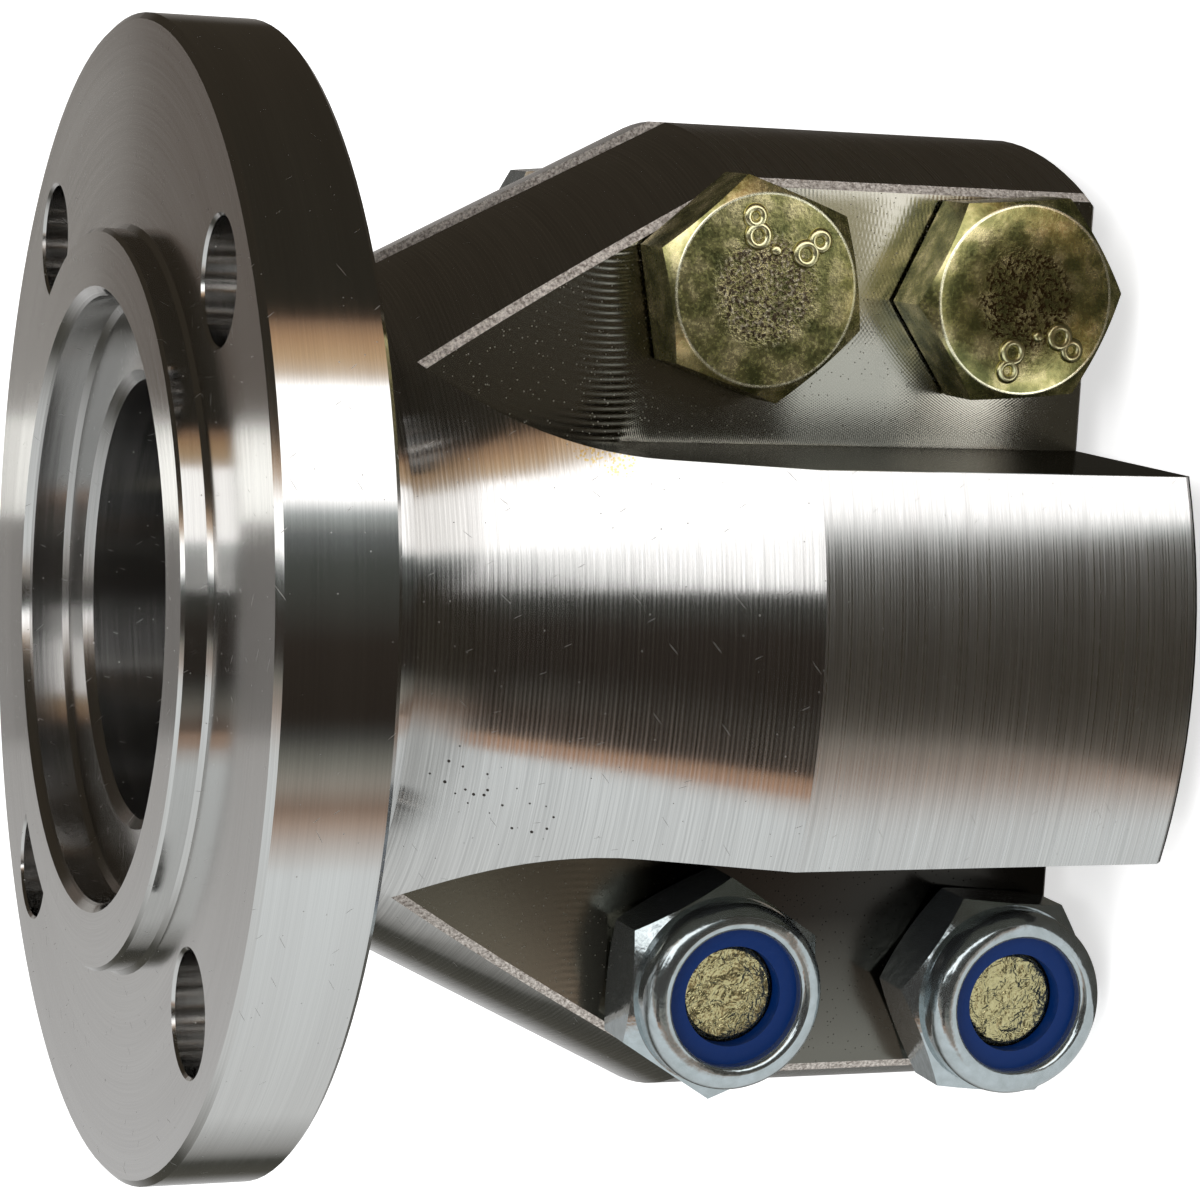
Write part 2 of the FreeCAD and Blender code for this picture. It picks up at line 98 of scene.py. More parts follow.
# Studio floor: a matt white sweep. The camera sees it as pure white apart from the object's soft
# shadow, and so do reflections, so that the steel shows a white room.
FLOOR_REACH = 6.0


def background_seen(tree):
    """1 for the rays that show the background: from the camera, in metal and through glass."""
    path = add(tree, "ShaderNodeLightPath")
    seen = add(tree, MATH, (path.outputs["Is Camera Ray"], path.outputs["Is Glossy Ray"]),
               operation="MAXIMUM")
    return add(tree, MATH, (seen, path.outputs["Is Transmission Ray"]), operation="MAXIMUM")


paper, tree = new_material("white_studio_paper")
matt = add(tree, "ShaderNodeBsdfDiffuse", {"Color": colour("#F4F4F4")})
bright = add(tree, "ShaderNodeEmission", {"Color": colour("#FFFFFF"), "Strength": 0.62})
both = add(tree, "ShaderNodeAddShader", (matt, bright))
mixed = add(tree, "ShaderNodeMixShader", (background_seen(tree), matt, both))
add(tree, "ShaderNodeOutputMaterial", {"Surface": mixed})

mesh = bpy.data.meshes.new("studio_floor")
mesh.from_pydata([(x * FLOOR_REACH, y * FLOOR_REACH, 0) for x, y in ((-1, -1), (1, -1), (1, 1), (-1, 1))],
                 [], [(0, 1, 2, 3)])
new_object("studio_floor", mesh, paper)

# Photographer's tent that only reflections see: sheets of paper that lie round the part and then
# stand up as walls and a roof. White, tan, black and grey sheets give bare steel its bands.
TENT_STRENGTH = 2.2
# Direction in degrees from -Y towards +X in which the steel mirrors a sheet, and its colour
TENT_SHEETS = (
    (-180, "#74726F"), (-160, "#909090"), (-142, "#383732"), (-131, "#30302C"), (-125, "#6E6E6C"),
    (-108, "#A0A2A2"), (-44, "#ACB0B1"), (-41, "#A2A19F"), (-34, "#857569"), (-31, "#69594E"),
    (-26, "#75716A"), (-22, "#5E5E58"), (-17, "#30302E"), (-14, "#201C18"), (0, "#24201C"),
    (15, "#393C39"), (20, "#505353"), (22, "#727674"), (24, "#838989"), (26.8, "#FFFFFF"),
    (48.4, "#FFFFFF"), (49.4, "#AA9E90"), (53, "#9E8668"), (57.5, "#8D7156"), (60.5, "#6D5847"),
    (61.8, "#352C25"), (64, "#211F1A"), (130, "#25211B"), (160, "#25211B"), (178, "#6A6764"),
    (180, "#74726F"),
)
# Distance from the part's side and height of each fold of the sheets, in metres
TENT_FOLDS = ((0.0, 0.0004), (0.04, 0.0004), (0.12, 0.0004), (0.25, 0.0004), (0.4, 0.0004),
              (0.46, 0.06), (0.48, 0.3), (0.46, 0.5), (0.36, 0.68), (0.2, 0.78), (0.0, 0.82))
HUB_RADIUS = 0.0432
# Turn of the camera, for which a mirror's normal lies halfway to the ray, and the fold's step
CAMERA_TURN, TENT_STEP = 9.5, 3


def hang_for_reflections(name, mesh, material, tree, shine):
    """Hangs a glowing sheet that only reflections see. It isn't sampled as a lamp."""
    glow = add(tree, "ShaderNodeEmission", {"Color": shine, "Strength": TENT_STRENGTH})
    add(tree, "ShaderNodeOutputMaterial", {"Surface": glow})
    material.cycles.emission_sampling = "NONE"
    sheet = new_object(name, mesh, material)
    sheet.visible_camera = sheet.visible_diffuse = sheet.visible_shadow = False
    sheet.visible_transmission = False


tent_mesh = bmesh.new()
azimuth_layer = tent_mesh.verts.layers.float.new("azimuth")
rows = []
for step in (*range(-180, 181, TENT_STEP), 180):
    # The last strip closes the tent behind the part.
    closing = len(rows) > 360 / TENT_STEP
    ray, normal = math.radians(step), math.radians((step + CAMERA_TURN) / 2 - 180 * closing)
    row = []
    for reach, height in TENT_FOLDS:
        vertex = tent_mesh.verts.new((HUB_RADIUS * math.sin(normal) + reach * math.sin(ray),
                                      -HUB_RADIUS * math.cos(normal) - reach * math.cos(ray), height))
        vertex[azimuth_layer] = (step + 180) / 360
        row.append(vertex)
    rows.append(row)
for left, right in zip(rows, rows[1:]):
    for at in range(len(TENT_FOLDS) - 1):
        tent_mesh.faces.new((left[at], right[at], right[at + 1], left[at + 1]))
mesh = bpy.data.meshes.new("studio_tent")
tent_mesh.to_mesh(mesh)
tent_mesh.free()

papers, tree = new_material("tent_papers")
direction = add(tree, "ShaderNodeAttribute", attribute_name="azimuth")
ramp = add(tree, "ShaderNodeValToRGB", {"Fac": direction.outputs["Fac"]})
stops = ramp.color_ramp.elements
for number, (azimuth, code) in enumerate(TENT_SHEETS):
    if number >= len(stops):
        stops.new((azimuth + 180) / 360)
    stops[number].position = (azimuth + 180) / 360
    stops[number].color = colour(code)
hang_for_reflections("studio_tent", mesh, papers, tree, ramp.outputs["Color"])

# Cards of painted board in the tent, for reflections only, each placed where one surface mirrors
# it. Their sizes and places are in metres.
FRONT_WALL, BACK_WALL, POCKET_MOUTH, FLOOR_CARD = 0.45, 0.44, -0.034, 0.0008


def on_wall(*spots):
    """Corners of a card bent along the tent's wall, from directions in degrees and heights."""
    return [(FRONT_WALL * math.sin(math.radians(turn)), -FRONT_WALL * math.cos(math.radians(turn)),
             height) for turn, height in spots]


def upright(depth, *spots):
    """Corners of a card that stands along X at a depth in Y, from X and Z."""
    return [(x, depth, z) for x, z in spots]


def lying(height, *spots):
    """Corners of a card that lies level, from X and Y."""
    return [(x, y, height) for x, y in spots]


def circle(x, y, radius, step):
    """Spots round a circle, a step in degrees apart."""
    return [(x + radius * math.cos(math.radians(turn)), y + radius * math.sin(math.radians(turn)))
            for turn in range(0, 360, step)]


CARDS = (
    # Three stand high in front, where the cone alone mirrors them, and slant its bands.
    ("high_white_card", "#FFFFFF", on_wall((32, 0.22), (32, 0.357), (26.3, 0.35), (16.5, 0.336),
                                           (12.3, 0.314), (10.6, 0.29), (10.4, 0.22))),
    ("high_black_card", "#201C18", on_wall((-10, 0.2), (-10, 0.38), (-35.5, 0.36), (-35.5, 0.309),
                                           (-34.5, 0.293), (-33, 0.274), (-31.5, 0.254), (-31, 0.2))),
    ("high_tan_card", "#8A6C56", on_wall((-35.5, 0.36), (-41, 0.36), (-41, 0.309), (-39.5, 0.293),
                                         (-38, 0.274), (-36.5, 0.254), (-36, 0.2), (-31, 0.2),
                                         (-31.5, 0.254), (-33, 0.274), (-34.5, 0.293),
                                         (-35.5, 0.309))),
    # One under the part keeps the white floor out of the hub's end.
    ("round_card", "#34322D", lying(0.0006, *circle(0.0, 0.0, 0.0434, 10))),
    # Two dark ones with a bright gap between them stand behind: the flange's face shows a dark
    # upper half and one bright stripe.
    ("dark_card", "#453F3A", upright(BACK_WALL, (-0.026, 0.19), (0.16, 0.19), (0.16, 0.36),
                                     (-0.026, 0.36))),
    ("gap_between_cards", "#D8D8D4", upright(BACK_WALL, (-0.046, 0.17), (-0.026, 0.17),
                                             (-0.026, 0.36), (-0.046, 0.36))),
    ("side_card", "#565452", upright(BACK_WALL, (-0.092, 0.17), (-0.046, 0.17), (-0.046, 0.36),
                                     (-0.092, 0.36))),
    # A black one on the floor in front darkens the seats and the bolt heads.
    ("floor_card", "#2C2821", lying(FLOOR_CARD, (-0.05, -0.2), (0.037, -0.2), (0.036, -0.12),
                                    (0.031, -0.09), (0.02, -0.062), (0.014, -0.046),
                                    (-0.012, -0.046), (-0.03, -0.1), (-0.04, -0.125),
                                    (-0.06, -0.13), (-0.062, -0.15))),
    # Two pale ones hang in the pocket's mouth between the heads, and a dark one before a head.
    ("pocket_card", "#B4B8BA", upright(POCKET_MOUTH, (0.0182, 0.0128), (0.0238, 0.0128),
                                       (0.0246, 0.0142), (0.0246, 0.0222), (0.0206, 0.0246),
                                       (0.0182, 0.0246), (0.0176, 0.0238), (0.0176, 0.0136))),
    ("grey_pocket_card", "#98947F", upright(POCKET_MOUTH, (0.0265, 0.0165), (0.0375, 0.0165),
                                            (0.0375, 0.0248), (0.0265, 0.0248))),
    ("head_card", "#3A342A", upright(POCKET_MOUTH, *circle(0.0294, 0.0091, 0.0068, 20))),
)
for name, code, corners in CARDS:
    card, tree = new_material(name)
    mesh = bpy.data.meshes.new(name)
    mesh.from_pydata(corners, [], [range(len(corners))])
    hang_for_reflections(name, mesh, card, tree, colour(code))

# Soft light: one broad lamp over the camera's side, one at the flange's side and a pale room.
world = bpy.data.worlds.new("white_room")
world.use_nodes = True
tree = world.node_tree
tree.nodes.clear()
strength = add(tree, "ShaderNodeMapRange", {"Value": background_seen(tree), "To Min": 0.55,
                                            "To Max": 1.0})
room = add(tree, "ShaderNodeBackground", {"Color": colour("#FFFFFF"), "Strength": strength})
add(tree, "ShaderNodeOutputWorld", {"Surface": room})
scene.world = world

PART_MIDDLE = Vector((0.0, 0.0, 0.045))
for name, power, size, place in (("broad_lamp", 5.0, 0.7, (0.25, -0.55, 0.75)),
                                 ("side_lamp", 2.0, 0.5, (-0.65, -0.2, 0.45))):
    lamp = bpy.data.objects.new(name, bpy.data.lights.new(name, "AREA"))
    lamp.data.shape, lamp.data.size, lamp.data.energy = "DISK", size, power
    lamp.location = place
    lamp.rotation_euler = (PART_MIDDLE - lamp.location).to_track_quat("-Z", "Y").to_euler()
    lamp.visible_glossy = False
    scene.collection.objects.link(lamp)

# Coupling body: one piece of mild steel, turned and then milled, left bare. Turning marks run
# round the axis, so it mirrors sharply round the axis and softly along it. The milled seats carry
# the arcs of a 50 mm cutter, and their deburred edges are rough and bright.

# Heights and radii of the turned shapes in millimetres
CYLINDER_TOP, FLANGE_BACK, HUB_END = 37.157, 74.657, 3.057
HUB, NECK, BORE, RECESS = 43.2, 24.0, 19.0, 26.0
# Place and radius of the cutter where it stopped, and the seats' distance from the slot's plane
CUTTER_X, CUTTER_Z, CUTTER_RADIUS = 41.4, 48.057, 25.0
SEAT = 19.0
# Depth under the turned skin from which a surface counts as milled, and the least share of Y in
# the normal of a seat
SKIN_DEPTH, SQUARE_ON = 0.45, 0.985


def place_in_mm(tree):
    """The place on the object in millimetres."""
    place = add(tree, "ShaderNodeTexCoord")
    return add(tree, VECTOR, {"Vector": place.outputs["Object"], "Scale": 1000.0}, operation="SCALE")


def dress(node, material):
    """Gives a carried node its material."""
    mesh = nodes[node].data
    mesh.materials.clear()
    mesh.materials.append(material)


steel, tree = new_material("bare_turned_steel")
spot = place_in_mm(tree)
axes = add(tree, "ShaderNodeSeparateXYZ", (spot,))
across, side, up = axes.outputs
flat_spot = add(tree, VECTOR, (spot, (1.0, 1.0, 0.0)), operation="MULTIPLY")
radius = add(tree, VECTOR, (flat_spot,), operation="LENGTH")
around = add(tree, VECTOR, (flat_spot,), operation="NORMALIZE")
shape = add(tree, "ShaderNodeNewGeometry")
leans = add(tree, "ShaderNodeSeparateXYZ", (shape.outputs["Normal"],))
lean_up = add(tree, MATH, (leans.outputs["Z"],), operation="ABSOLUTE")
lean_side = add(tree, MATH, (leans.outputs["Y"],), operation="ABSOLUTE")
is_face = add(tree, MATH, (lean_up, 0.8), operation="GREATER_THAN")
along = add(tree, MIX, {"Factor": is_face, "A": up, "B": radius})

# Where the cutter took the turned skin away: under the cone's or the cylinder's own radius.
skin = add(tree, "ShaderNodeMapRange", {"Value": up, "From Min": CYLINDER_TOP, "From Max": FLANGE_BACK,
                                        "To Min": HUB, "To Max": NECK})
depth = add(tree, MATH, (skin, radius), operation="SUBTRACT")
under = add(tree, MATH, (depth, SKIN_DEPTH), operation="GREATER_THAN")
outside = add(tree, MATH, (radius, BORE + 0.4), operation="GREATER_THAN")
below = add(tree, MATH, (up, FLANGE_BACK - 0.3), operation="LESS_THAN")
above = add(tree, MATH, (up, HUB_END + 0.1), operation="GREATER_THAN")
milled = add(tree, MATH, (under, outside), operation="MULTIPLY")
for mask in (below, above):
    milled = add(tree, MATH, (milled, mask), operation="MULTIPLY")
is_seat = add(tree, MATH, (lean_side, SQUARE_ON), operation="GREATER_THAN")

# Arcs of the cutter on the seats: rings about the place where it stopped, and below that the
# leading and trailing arcs of its feed, which cross each other. The rings catch the light only
# where they run along the shaft, level with the cutter's centre.
distance_x = add(tree, MATH, (across,), operation="ABSOLUTE")
arc_x = add(tree, MATH, (distance_x, CUTTER_X), operation="SUBTRACT")
arc_square = add(tree, MATH, (arc_x, arc_x), operation="MULTIPLY")
arc_drop = add(tree, MATH, (CUTTER_RADIUS ** 2, arc_square), operation="SUBTRACT")
arc_drop = add(tree, MATH, (arc_drop,), operation="SQRT")
rise = add(tree, MATH, (up, CUTTER_Z), operation="SUBTRACT")
is_stop = add(tree, "ShaderNodeMapRange", {"Value": rise, "From Min": -4.5, "From Max": -1.5})
rise_square = add(tree, MATH, (rise, rise), operation="MULTIPLY")
ring_place = add(tree, MATH, (arc_square, rise_square), operation="ADD")
ring_place = add(tree, MATH, (ring_place,), operation="SQRT")
leading = add(tree, MATH, (up, arc_drop), operation="SUBTRACT")
trailing = add(tree, MATH, (up, arc_drop), operation="ADD")
marks = []
for line, pitch in ((ring_place, 0.62), (leading, 0.36), (trailing, 0.41)):
    turn = add(tree, MATH, (line, 2 * math.pi / pitch), operation="MULTIPLY")
    marks.append(add(tree, MATH, (turn,), operation="SINE"))
feed_marks = add(tree, MATH, (marks[1], marks[2]), operation="ADD")
mill_marks = add(tree, MIX, {"Factor": is_stop, "A": feed_marks, "B": marks[0]})
arc_height = add(tree, MIX, {"Factor": is_stop, "A": arc_drop, "B": rise})
arc_side = add(tree, MATH, (across,), operation="SIGN")
arc_width = add(tree, MATH, (arc_x, arc_side), operation="MULTIPLY")
arc_back = add(tree, MATH, (arc_width, -1.0), operation="MULTIPLY")
mill_lay = add(tree, "ShaderNodeCombineXYZ", {"X": arc_height, "Z": arc_back})
wall_lay = add(tree, MIX, {"Factor": is_seat, "A": (0.0, 1.0, 0.0), "B": mill_lay},
               data_type="VECTOR")
turn_lay = add(tree, "ShaderNodeTangent", direction_type="RADIAL", axis="Z")
lay = add(tree, MIX, {"Factor": milled, "A": turn_lay, "B": wall_lay}, data_type="VECTOR")

# Turning marks: streaks drawn out round the axis, 0.1 mm apart, and the tool's feed, 0.28 mm a
# turn on the hub and 0.345 mm on the cone. Each set of streaks has its pitch in mm, its share of
# the way round and its detail.
streaks = []
for pitch, reach, detail in ((0.1, 2.4, 1.0), (0.34, 0.9, 1.0), (2.2, 0.5, 0.0)):
    step = add(tree, MATH, (along, pitch), operation="DIVIDE")
    line = add(tree, "ShaderNodeCombineXYZ", {"Z": step})
    ring = add(tree, VECTOR, {"Vector": around, "Scale": reach}, operation="SCALE")
    where = add(tree, VECTOR, (line, ring), operation="ADD")
    streaks.append(add(tree, "ShaderNodeTexNoise", {"Vector": where, "Scale": 1.0, "Detail": detail,
                                                    "Roughness": 0.6}))
is_hub = add(tree, MATH, (up, CYLINDER_TOP), operation="LESS_THAN")
is_turned = add(tree, MATH, (1.0, milled), operation="SUBTRACT")
hub_skin = add(tree, MATH, (is_hub, is_turned), operation="MULTIPLY")
feed_step = add(tree, "ShaderNodeMapRange", {"Value": is_hub, "To Min": 2 * math.pi / 0.345,
                                             "To Max": 2 * math.pi / 0.28})
feed_turn = add(tree, MATH, (up, feed_step), operation="MULTIPLY")
feed_line = add(tree, MATH, (feed_turn,), operation="SINE")

# Relief in metres. The flange was faced with a fine feed, so its marks are a quarter as deep.
flange_only = add(tree, MATH, (up, FLANGE_BACK - 0.05), operation="GREATER_THAN")
mark_depth = add(tree, "ShaderNodeMapRange", {"Value": flange_only, "To Min": 1.0, "To Max": 0.25})
fine = add(tree, MATH, (streaks[0], 2.2e-6), operation="MULTIPLY")
coarse = add(tree, MATH, (streaks[1], 4e-6), operation="MULTIPLY")
relief = add(tree, MATH, (fine, coarse), operation="ADD")
relief = add(tree, MATH, (relief, mark_depth), operation="MULTIPLY")
hub_feed = add(tree, MATH, (feed_line, 1.6e-6), operation="MULTIPLY")
hub_feed = add(tree, MATH, (hub_feed, hub_skin), operation="MULTIPLY")
relief = add(tree, MATH, (relief, hub_feed), operation="ADD")
off_centre = add(tree, MATH, (rise, 1.1), operation="ADD")
off_centre = add(tree, MATH, (off_centre,), operation="ABSOLUTE")
ring_depth = add(tree, "ShaderNodeMapRange", {"Value": off_centre, "From Min": 0.8, "From Max": 3.6,
                                              "To Min": 1.3e-5, "To Max": 1.4e-6})
mark_size = add(tree, MIX, {"Factor": is_stop, "A": 1.3e-6, "B": ring_depth})
fainter = add(tree, "ShaderNodeMapRange", {"Value": across, "From Min": -10.0, "From Max": 10.0,
                                           "To Min": 0.08, "To Max": 1.0})
mark_size = add(tree, MATH, (mark_size, fainter), operation="MULTIPLY")
seat_relief = add(tree, MATH, (mill_marks, mark_size), operation="MULTIPLY")
seat_relief = add(tree, MATH, (seat_relief, is_seat), operation="MULTIPLY")
file_marks = add(tree, "ShaderNodeTexNoise", {"Vector": spot, "Scale": 3.6, "Detail": 3.0,
                                              "Roughness": 0.7})
grain_relief = add(tree, MATH, (file_marks, 2.5e-6), operation="MULTIPLY")
seat_relief = add(tree, MATH, (seat_relief, grain_relief), operation="ADD")
relief = add(tree, MIX, {"Factor": milled, "A": relief, "B": seat_relief})

# Rough strip where the seat's edge was broken with a file, and the sawn walls of the slot
rim_high = add(tree, MATH, (lean_side, 0.79), operation="GREATER_THAN")
rim_low = add(tree, MATH, (lean_side, SQUARE_ON), operation="LESS_THAN")
side_reach = add(tree, MATH, (side,), operation="ABSOLUTE")
rim_near = add(tree, MATH, (side_reach, SEAT - 0.28, 0.31), operation="COMPARE")
rim = add(tree, MATH, (rim_high, rim_low), operation="MULTIPLY")
rim = add(tree, MATH, (rim, rim_near), operation="MULTIPLY")
rim = add(tree, MATH, (rim, outside), operation="MULTIPLY")
sawn = add(tree, MATH, (side_reach, 6.0), operation="LESS_THAN")
sawn_outside = add(tree, MATH, (depth, 1.6), operation="LESS_THAN")
sawn = add(tree, MATH, (sawn, sawn_outside), operation="MULTIPLY")
sawn = add(tree, MATH, (sawn, is_seat), operation="MULTIPLY")
rim = add(tree, MATH, (rim, sawn), operation="MAXIMUM")
file_relief = add(tree, MATH, (file_marks, 1.04e-4), operation="MULTIPLY")
relief = add(tree, MIX, {"Factor": rim, "A": relief, "B": file_relief})
bump = add(tree, "ShaderNodeBump", {"Strength": 1.0, "Distance": 1.0, "Height": relief})

# Marks of handling: gold flecks at the pocket's edge and small pits in the cone. Each has its
# places, reach, grain per mm, share and colour.
HANDLING = (
    (((16.75, -30.64, 53.24), (15.97, -32.15, 51.34)), 1.9, 3.4, 0.42, "#C8B88C"),
    (((-9.8, -28.4, 62.75), (-11.8, -29.3, 59.7), (-13.7, -30.2, 56.7)), 3.2, 1.3, 0.19, "#3A3632"),
)
speck_scale = add(tree, MIX, {"Factor": milled, "A": 0.8, "B": 2.0})
mark_shares = []
for places, reach, grain_scale, share, code in HANDLING:
    nearest = 100.0
    for place in places:
        gap = add(tree, VECTOR, (spot, place), operation="DISTANCE")
        nearest = add(tree, MATH, (nearest, gap.outputs["Value"]), operation="MINIMUM")
    mark_share = add(tree, "ShaderNodeMapRange", {"Value": nearest, "From Min": reach,
                                                  "From Max": 0.5 * reach, "To Max": share})
    is_marked = add(tree, MATH, (nearest, reach), operation="LESS_THAN")
    speck_scale = add(tree, MIX, {"Factor": is_marked, "A": speck_scale, "B": grain_scale})
    mark_shares.append((mark_share, code))

# Specks, 0.8 to the mm and 2 where it is milled, and short straight scratches in two directions,
# laid out on the unrolled skin. They scatter light, so they look pale on dark steel.
specks = add(tree, "ShaderNodeTexVoronoi", {"Vector": spot, "Scale": speck_scale})
speck_size = add(tree, MIX, {"Factor": milled, "A": 0.05, "B": 0.13})
nick = add(tree, MATH, (specks, speck_size), operation="LESS_THAN")
turned_by = add(tree, MATH, (across, side), operation="ARCTAN2")
arc_length = add(tree, MATH, (turned_by, HUB), operation="MULTIPLY")
unrolled = add(tree, "ShaderNodeCombineXYZ", {"X": arc_length, "Y": along})
for angle, reach in ((0.6, 0.04), (2.2, 0.07)):
    skewed = add(tree, "ShaderNodeVectorRotate", {"Vector": unrolled, "Angle": angle},
                 rotation_type="Z_AXIS")
    drawn = add(tree, VECTOR, (skewed, (reach, 1.0, 1.0)), operation="MULTIPLY")
    cells = add(tree, "ShaderNodeTexVoronoi", {"Vector": drawn, "Scale": 0.6},
                voronoi_dimensions="2D")
    scratch = add(tree, MATH, (cells, 0.014), operation="LESS_THAN")
    scratch = add(tree, MATH, (scratch, is_turned), operation="MULTIPLY")
    nick = add(tree, MATH, (nick, scratch), operation="MAXIMUM")

# Roughness by the way each surface was cut: cone, hub, flange, bore and recess, seats, edges
hub_rough = add(tree, "ShaderNodeMapRange", {"Value": hub_skin, "To Min": 0.15, "To Max": 0.32})
skin_rough = add(tree, MIX, {"Factor": flange_only, "A": hub_rough, "B": 0.13})
inside = add(tree, MATH, (radius, RECESS + 0.2), operation="LESS_THAN")
bored = add(tree, MATH, (inside, is_turned), operation="MULTIPLY")
skin_rough = add(tree, MIX, {"Factor": bored, "A": skin_rough, "B": 0.2})
streak_rough = add(tree, "ShaderNodeMapRange", {"Value": streaks[1], "From Min": 0.3, "From Max": 0.7,
                                                "To Min": 0.88, "To Max": 1.14})
rough = add(tree, MATH, (skin_rough, streak_rough), operation="MULTIPLY")
feed_rough = add(tree, "ShaderNodeMapRange", {"Value": feed_line, "From Min": -1.0, "To Min": 0.85,
                                              "To Max": 1.22})
feed_rough = add(tree, MIX, {"Factor": flange_only, "A": feed_rough, "B": 1.0})
rough = add(tree, MATH, (rough, feed_rough), operation="MULTIPLY")
rough = add(tree, MIX, {"Factor": milled, "A": rough, "B": 0.17})
rough = add(tree, MIX, {"Factor": rim, "A": rough, "B": 0.55})
rough = add(tree, MIX, {"Factor": nick, "A": rough, "B": 0.7})
drawn_out = add(tree, MIX, {"Factor": bored, "A": 0.8, "B": 0.9})
drawn_out = add(tree, MIX, {"Factor": milled, "A": drawn_out, "B": 0.5})

# Colour: streaks and feed lines over near greys, evened on the flange. Painted shade: the seats of the -X
# side are dark between the nuts, and so are the walls of the webs.
DARKEST, PALEST = 0.84, 1.08
tone = add(tree, "ShaderNodeMapRange", {"Value": streaks[0], "From Min": 0.3, "From Max": 0.7,
                                        "To Min": DARKEST, "To Max": PALEST})
feed_tone = add(tree, "ShaderNodeMapRange", {"Value": feed_line, "From Min": -1.0, "To Min": 0.94,
                                             "To Max": 1.04})
feed_tone = add(tree, MIX, {"Factor": flange_only, "A": feed_tone, "B": 1.0})
tone = add(tree, MATH, (tone, feed_tone), operation="MULTIPLY")
even_tone = add(tree, "ShaderNodeMapRange", {"Value": tone, "From Min": DARKEST, "From Max": PALEST,
                                             "To Min": 0.94, "To Max": 1.03})
tone = add(tree, MIX, {"Factor": flange_only, "A": tone, "B": even_tone})
skin_colour = add(tree, MIX, {"Factor": streaks[2], "A": colour("#C8C6C4"), "B": colour("#D2D1CF")},
                  data_type="RGBA")
skin_colour = add(tree, VECTOR, {"Vector": skin_colour, "Scale": tone}, operation="SCALE")
# Painted shade: the seats of the -X side darken low down, between the nuts.
painted_seat_shade = add(tree, "ShaderNodeMapRange", {"Value": across, "From Min": -37.0, "From Max": -25.0,
                                        "To Min": 0.62, "To Max": 1.0})
seat_shade_low = add(tree, "ShaderNodeMapRange", {"Value": up, "From Min": 47.0, "From Max": 41.0})
seat_shade_side = add(tree, MATH, (across, -14.0), operation="LESS_THAN")
painted_seat_shade = add(tree, MATH, (painted_seat_shade, seat_shade_low), operation="MULTIPLY")
painted_seat_shade = add(tree, MATH, (painted_seat_shade, seat_shade_side), operation="MULTIPLY")
milled_colour = add(tree, MIX, {"Factor": painted_seat_shade, "A": colour("#A6A398"), "B": colour("#34322F")},
                    data_type="RGBA")
# Painted shade: the walls of the webs are darker than the seats.
milled_colour = add(tree, MIX, {"Factor": is_seat, "A": colour("#4E4C42"), "B": milled_colour},
                    data_type="RGBA")
skin_colour = add(tree, MIX, {"Factor": milled, "A": skin_colour, "B": milled_colour},
                  data_type="RGBA")
# Painted shade: the bore and the recess are darker.
bore_painted_shade = add(tree, "ShaderNodeMapRange", {"Value": bored, "To Min": 1.0, "To Max": 0.82})
skin_colour = add(tree, VECTOR, {"Vector": skin_colour, "Scale": bore_painted_shade}, operation="SCALE")

# Dark burrs on the outer edge of the web's walls
not_seat = add(tree, MATH, (1.0, is_seat), operation="SUBTRACT")
burr = add(tree, MATH, (depth, 1.3), operation="LESS_THAN")
burr = add(tree, MATH, (burr, not_seat), operation="MULTIPLY")
burr_patch = add(tree, MATH, (file_marks, 0.47), operation="GREATER_THAN")
burr = add(tree, MATH, (burr, burr_patch), operation="MULTIPLY")
burr = add(tree, MATH, (burr, milled), operation="MULTIPLY")
skin_colour = add(tree, MIX, {"Factor": burr, "A": skin_colour, "B": colour("#2E2A24")},
                  data_type="RGBA")

# The gold flecks and the pits in their own colours
for mark_share, code in mark_shares:
    mark = add(tree, MATH, (specks, mark_share), operation="LESS_THAN")
    skin_colour = add(tree, MIX, {"Factor": mark, "A": skin_colour, "B": colour(code)},
                      data_type="RGBA")

# The filed and sawn strips are matt and speckled. Painted shade: the walls get a dark tint at a flat
# angle.
filed_level = add(tree, "ShaderNodeMapRange", {"Value": file_marks, "From Min": 0.36, "From Max": 0.64})
filed = add(tree, MIX, {"Factor": filed_level, "A": colour("#80766E"), "B": colour("#E6DED6")},
            data_type="RGBA")
steel_colour = add(tree, MIX, {"Factor": rim, "A": skin_colour, "B": filed}, data_type="RGBA")
sheen = add(tree, "ShaderNodeMapRange", {"Value": rim, "To Min": 1.0, "To Max": 0.45})
painted_shade_wall = add(tree, MATH, (milled, not_seat), operation="MULTIPLY")
wall_painted_shade_tint = add(tree, MIX, {"Factor": painted_shade_wall, "A": colour("#FFFFFF"), "B": colour("#6C695C")},
              data_type="RGBA")
steel_shader = add(tree, "ShaderNodeBsdfPrincipled", {
    "Base Color": steel_colour, "Metallic": sheen, "Specular Tint": wall_painted_shade_tint, "Roughness": rough,
    "Anisotropic": drawn_out, "Anisotropic Rotation": 0.25, "Tangent": lay, "Normal": bump})
add(tree, "ShaderNodeOutputMaterial", {"Surface": steel_shader})
dress("coupling_body", steel)

# Clamp bolts: forged heads and cut threads, zinc plated and yellow passivated, which leaves a
# thin film that turns from gold to green and violet. The die left the middle of each head rough,
# and the shears hammered the bolt's end.
HEAD_FACE, HEAD_FLAT = 25.4, 8.08
# X and Z of each bolt's axis, and the direction in which its figures stand on the head
BOLTS = ((29.87, 36.51, -17.0), (29.87, 12.38, 198.0), (-29.87, 36.48, 60.0), (-31.33, 9.667, 250.0))

